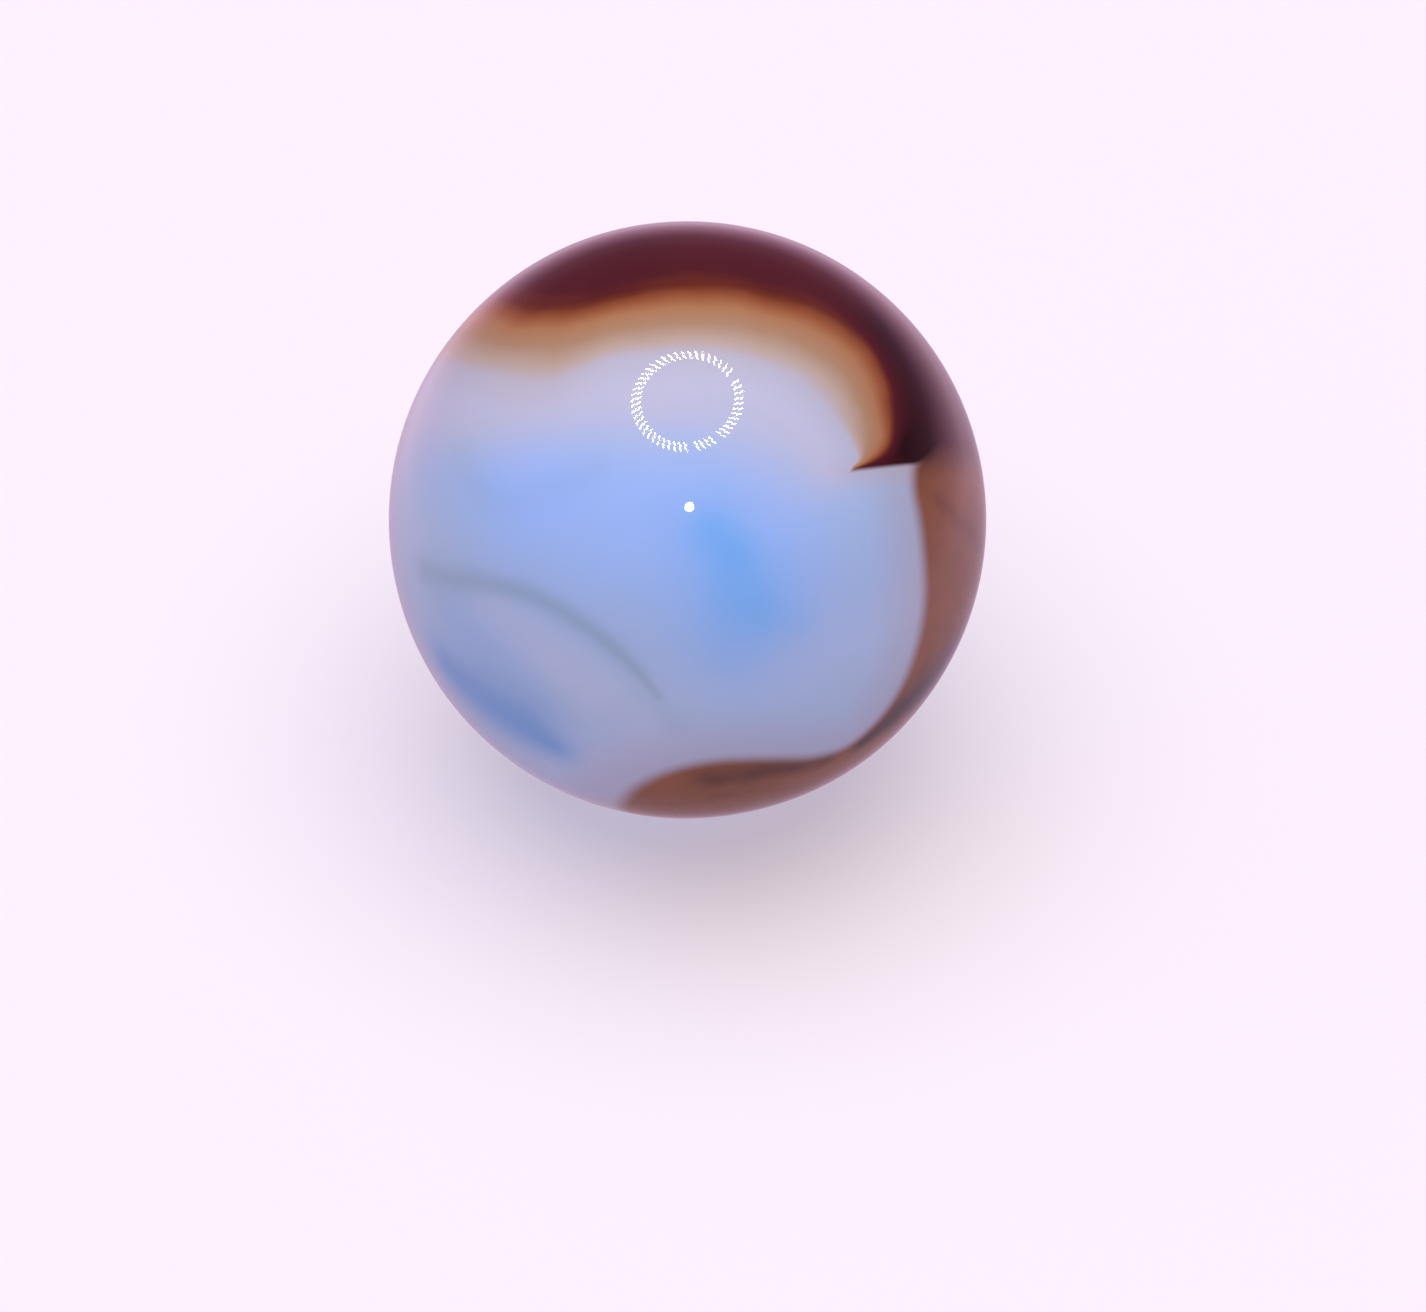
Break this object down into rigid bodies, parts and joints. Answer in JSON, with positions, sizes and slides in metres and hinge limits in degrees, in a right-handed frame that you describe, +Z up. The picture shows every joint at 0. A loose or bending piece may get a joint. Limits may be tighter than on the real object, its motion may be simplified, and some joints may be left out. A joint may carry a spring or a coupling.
{
  "type": "glass marble",
  "caption": "Solid glass ball of opaque pale blue with a fused ribbon of amber and dark red glass over its crown and round one side.",
  "frame": {"origin": "centre of the ball", "axes": "+Z up as the ball lies on show, with the ribbon's dark arch over the crown; -Y towards the viewer; +X to the viewer's right, where the ribbon turns down"},
  "size_m": [0.0174, 0.0174, 0.0176],
  "materials": {
    "swirl_glass": "polished"
  },
  "bodies": {
    "root": {"marble": "swirl_glass"}
  },
  "joints": []
}
